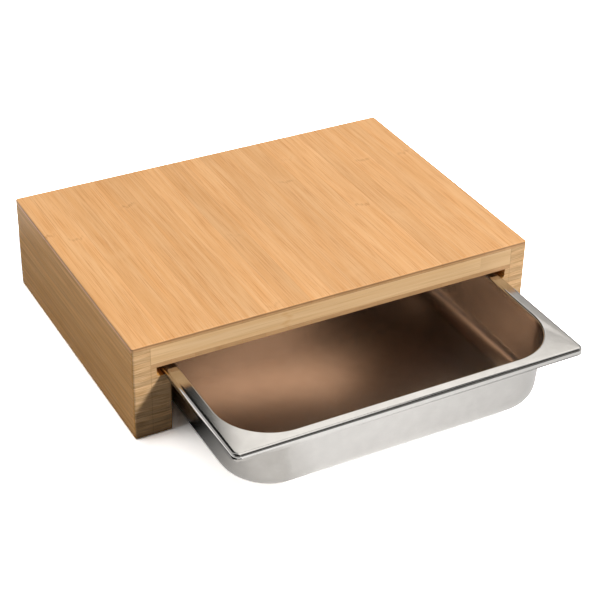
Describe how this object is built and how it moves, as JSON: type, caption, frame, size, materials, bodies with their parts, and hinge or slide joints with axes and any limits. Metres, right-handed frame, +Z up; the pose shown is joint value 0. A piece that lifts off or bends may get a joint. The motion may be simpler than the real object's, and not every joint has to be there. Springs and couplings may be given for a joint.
{
  "type": "cutting board with sliding tray",
  "caption": "Low table-shaped bamboo cutting board with a steel food tray that slides like a drawer in grooves under the cutting surface.",
  "frame": {"origin": "on the table, under the middle of the whole object with the tray pulled out by 130 mm", "axes": "+X to the right along the front, +Y from the front to the back, +Z up from the table"},
  "size_m": [0.38, 0.402, 0.091],
  "materials": {
    "bamboo_surface": "oiled",
    "bamboo_core": "oiled",
    "bamboo_leg": "oiled",
    "tray_steel": "satin"
  },
  "bodies": {
    "board": {"top_ply": "bamboo_surface", "core_ply": "bamboo_core", "bottom_ply": "bamboo_surface", "left_side_panel": "bamboo_leg", "right_side_panel": "bamboo_leg", "left_runner": "bamboo_leg", "right_runner": "bamboo_leg"},
    "tray": {"tray": "tray_steel"}
  },
  "joints": [
    {"name": "tray_slide", "type": "slide", "parent": "board", "child": "tray", "axis": [0, -1, 0], "range_m": [-0.13, 0.135]}
  ]
}
